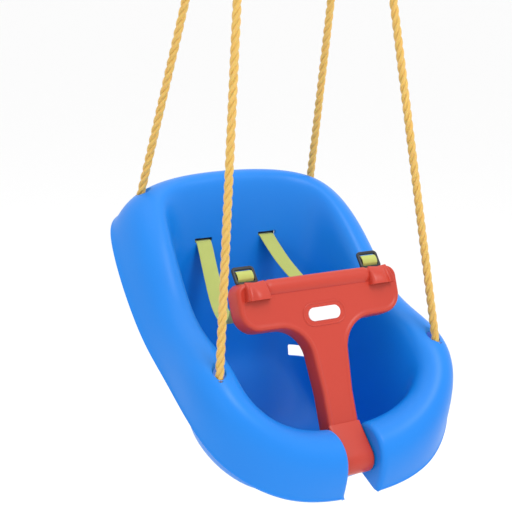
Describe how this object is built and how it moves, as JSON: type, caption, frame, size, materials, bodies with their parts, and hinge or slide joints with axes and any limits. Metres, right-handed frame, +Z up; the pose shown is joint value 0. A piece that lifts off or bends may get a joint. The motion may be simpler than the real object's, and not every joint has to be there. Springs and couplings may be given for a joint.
{
  "type": "toddler bucket swing",
  "caption": "Moulded blue bucket seat with rolled rim and skirt, hinged red T-shaped restraint bar, two harness straps and four hanging ropes joined in pairs.",
  "frame": {"origin": "midway between the two hanging links, at the inside top of their loops, where the hooks above carry them", "axes": "+Z up along the hanging direction, -Y towards the front of the seat, +X to the child's left"},
  "size_m": [0.4223, 0.4023, 1.0463],
  "materials": {
    "shell_blue": "satin moulded polyethylene",
    "bar_red": "satin moulded polyethylene",
    "badge_white": "plain white",
    "webbing": "woven polyester",
    "buckle_black": "moulded acetal",
    "rope": "three-strand twisted polyethylene",
    "steel": "bright zinc",
    "zinc": "zinc plated"
  },
  "bodies": {
    "hangers": {"hang_link_left": "zinc", "hang_link_right": "zinc"},
    "t_bar": {"t_bar": "bar_red", "badge": "badge_white"},
    "harness_left": {"strap_left": "webbing", "buckle_left": "buckle_black"},
    "harness_right": {"strap_right": "webbing", "buckle_right": "buckle_black"},
    "seat": {"seat_shell": "shell_blue", "pivot_axle": "steel", "axle_push_nut_left": "steel", "strap_anchor_left": "buckle_black", "ring_left": "zinc", "rope_front_left": "rope", "rope_knot_front_left": "rope", "rope_washer_front_left": "zinc", "rope_ferrule_front_left": "zinc", "rope_rear_left": "rope", "rope_knot_rear_left": "rope", "rope_washer_rear_left": "zinc", "rope_ferrule_rear_left": "zinc", "axle_push_nut_right": "steel", "strap_anchor_right": "buckle_black", "ring_right": "zinc", "rope_front_right": "rope", "rope_knot_front_right": "rope", "rope_washer_front_right": "zinc", "rope_ferrule_front_right": "zinc", "rope_rear_right": "rope", "rope_knot_rear_right": "rope", "rope_washer_rear_right": "zinc", "rope_ferrule_rear_right": "zinc"}
  },
  "joints": [
    {"name": "swing", "type": "hinge", "parent": "hangers", "child": "seat", "pos_m": [0, 0, -0.044], "axis": [1, 0, 0], "range_deg": [-40, 40]},
    {"name": "t_bar_pivot", "type": "hinge", "parent": "seat", "child": "t_bar", "pos_m": [0, -0.16, -0.9744], "axis": [1, 0, 0], "range_deg": [0, 100]},
    {"name": "harness_left_turn", "type": "hinge", "parent": "seat", "child": "harness_left", "pos_m": [0, 0.1545, -0.7302], "axis": [-1, 0, 0], "range_deg": [0, 40]},
    {"name": "harness_right_turn", "type": "hinge", "parent": "seat", "child": "harness_right", "pos_m": [0, 0.1545, -0.7302], "axis": [-1, 0, 0], "range_deg": [0, 40]}
  ],
  "couplings": [
    {"joint": "harness_left_turn", "follows": "t_bar_pivot", "ratio": 0.4},
    {"joint": "harness_right_turn", "follows": "t_bar_pivot", "ratio": 0.4}
  ]
}
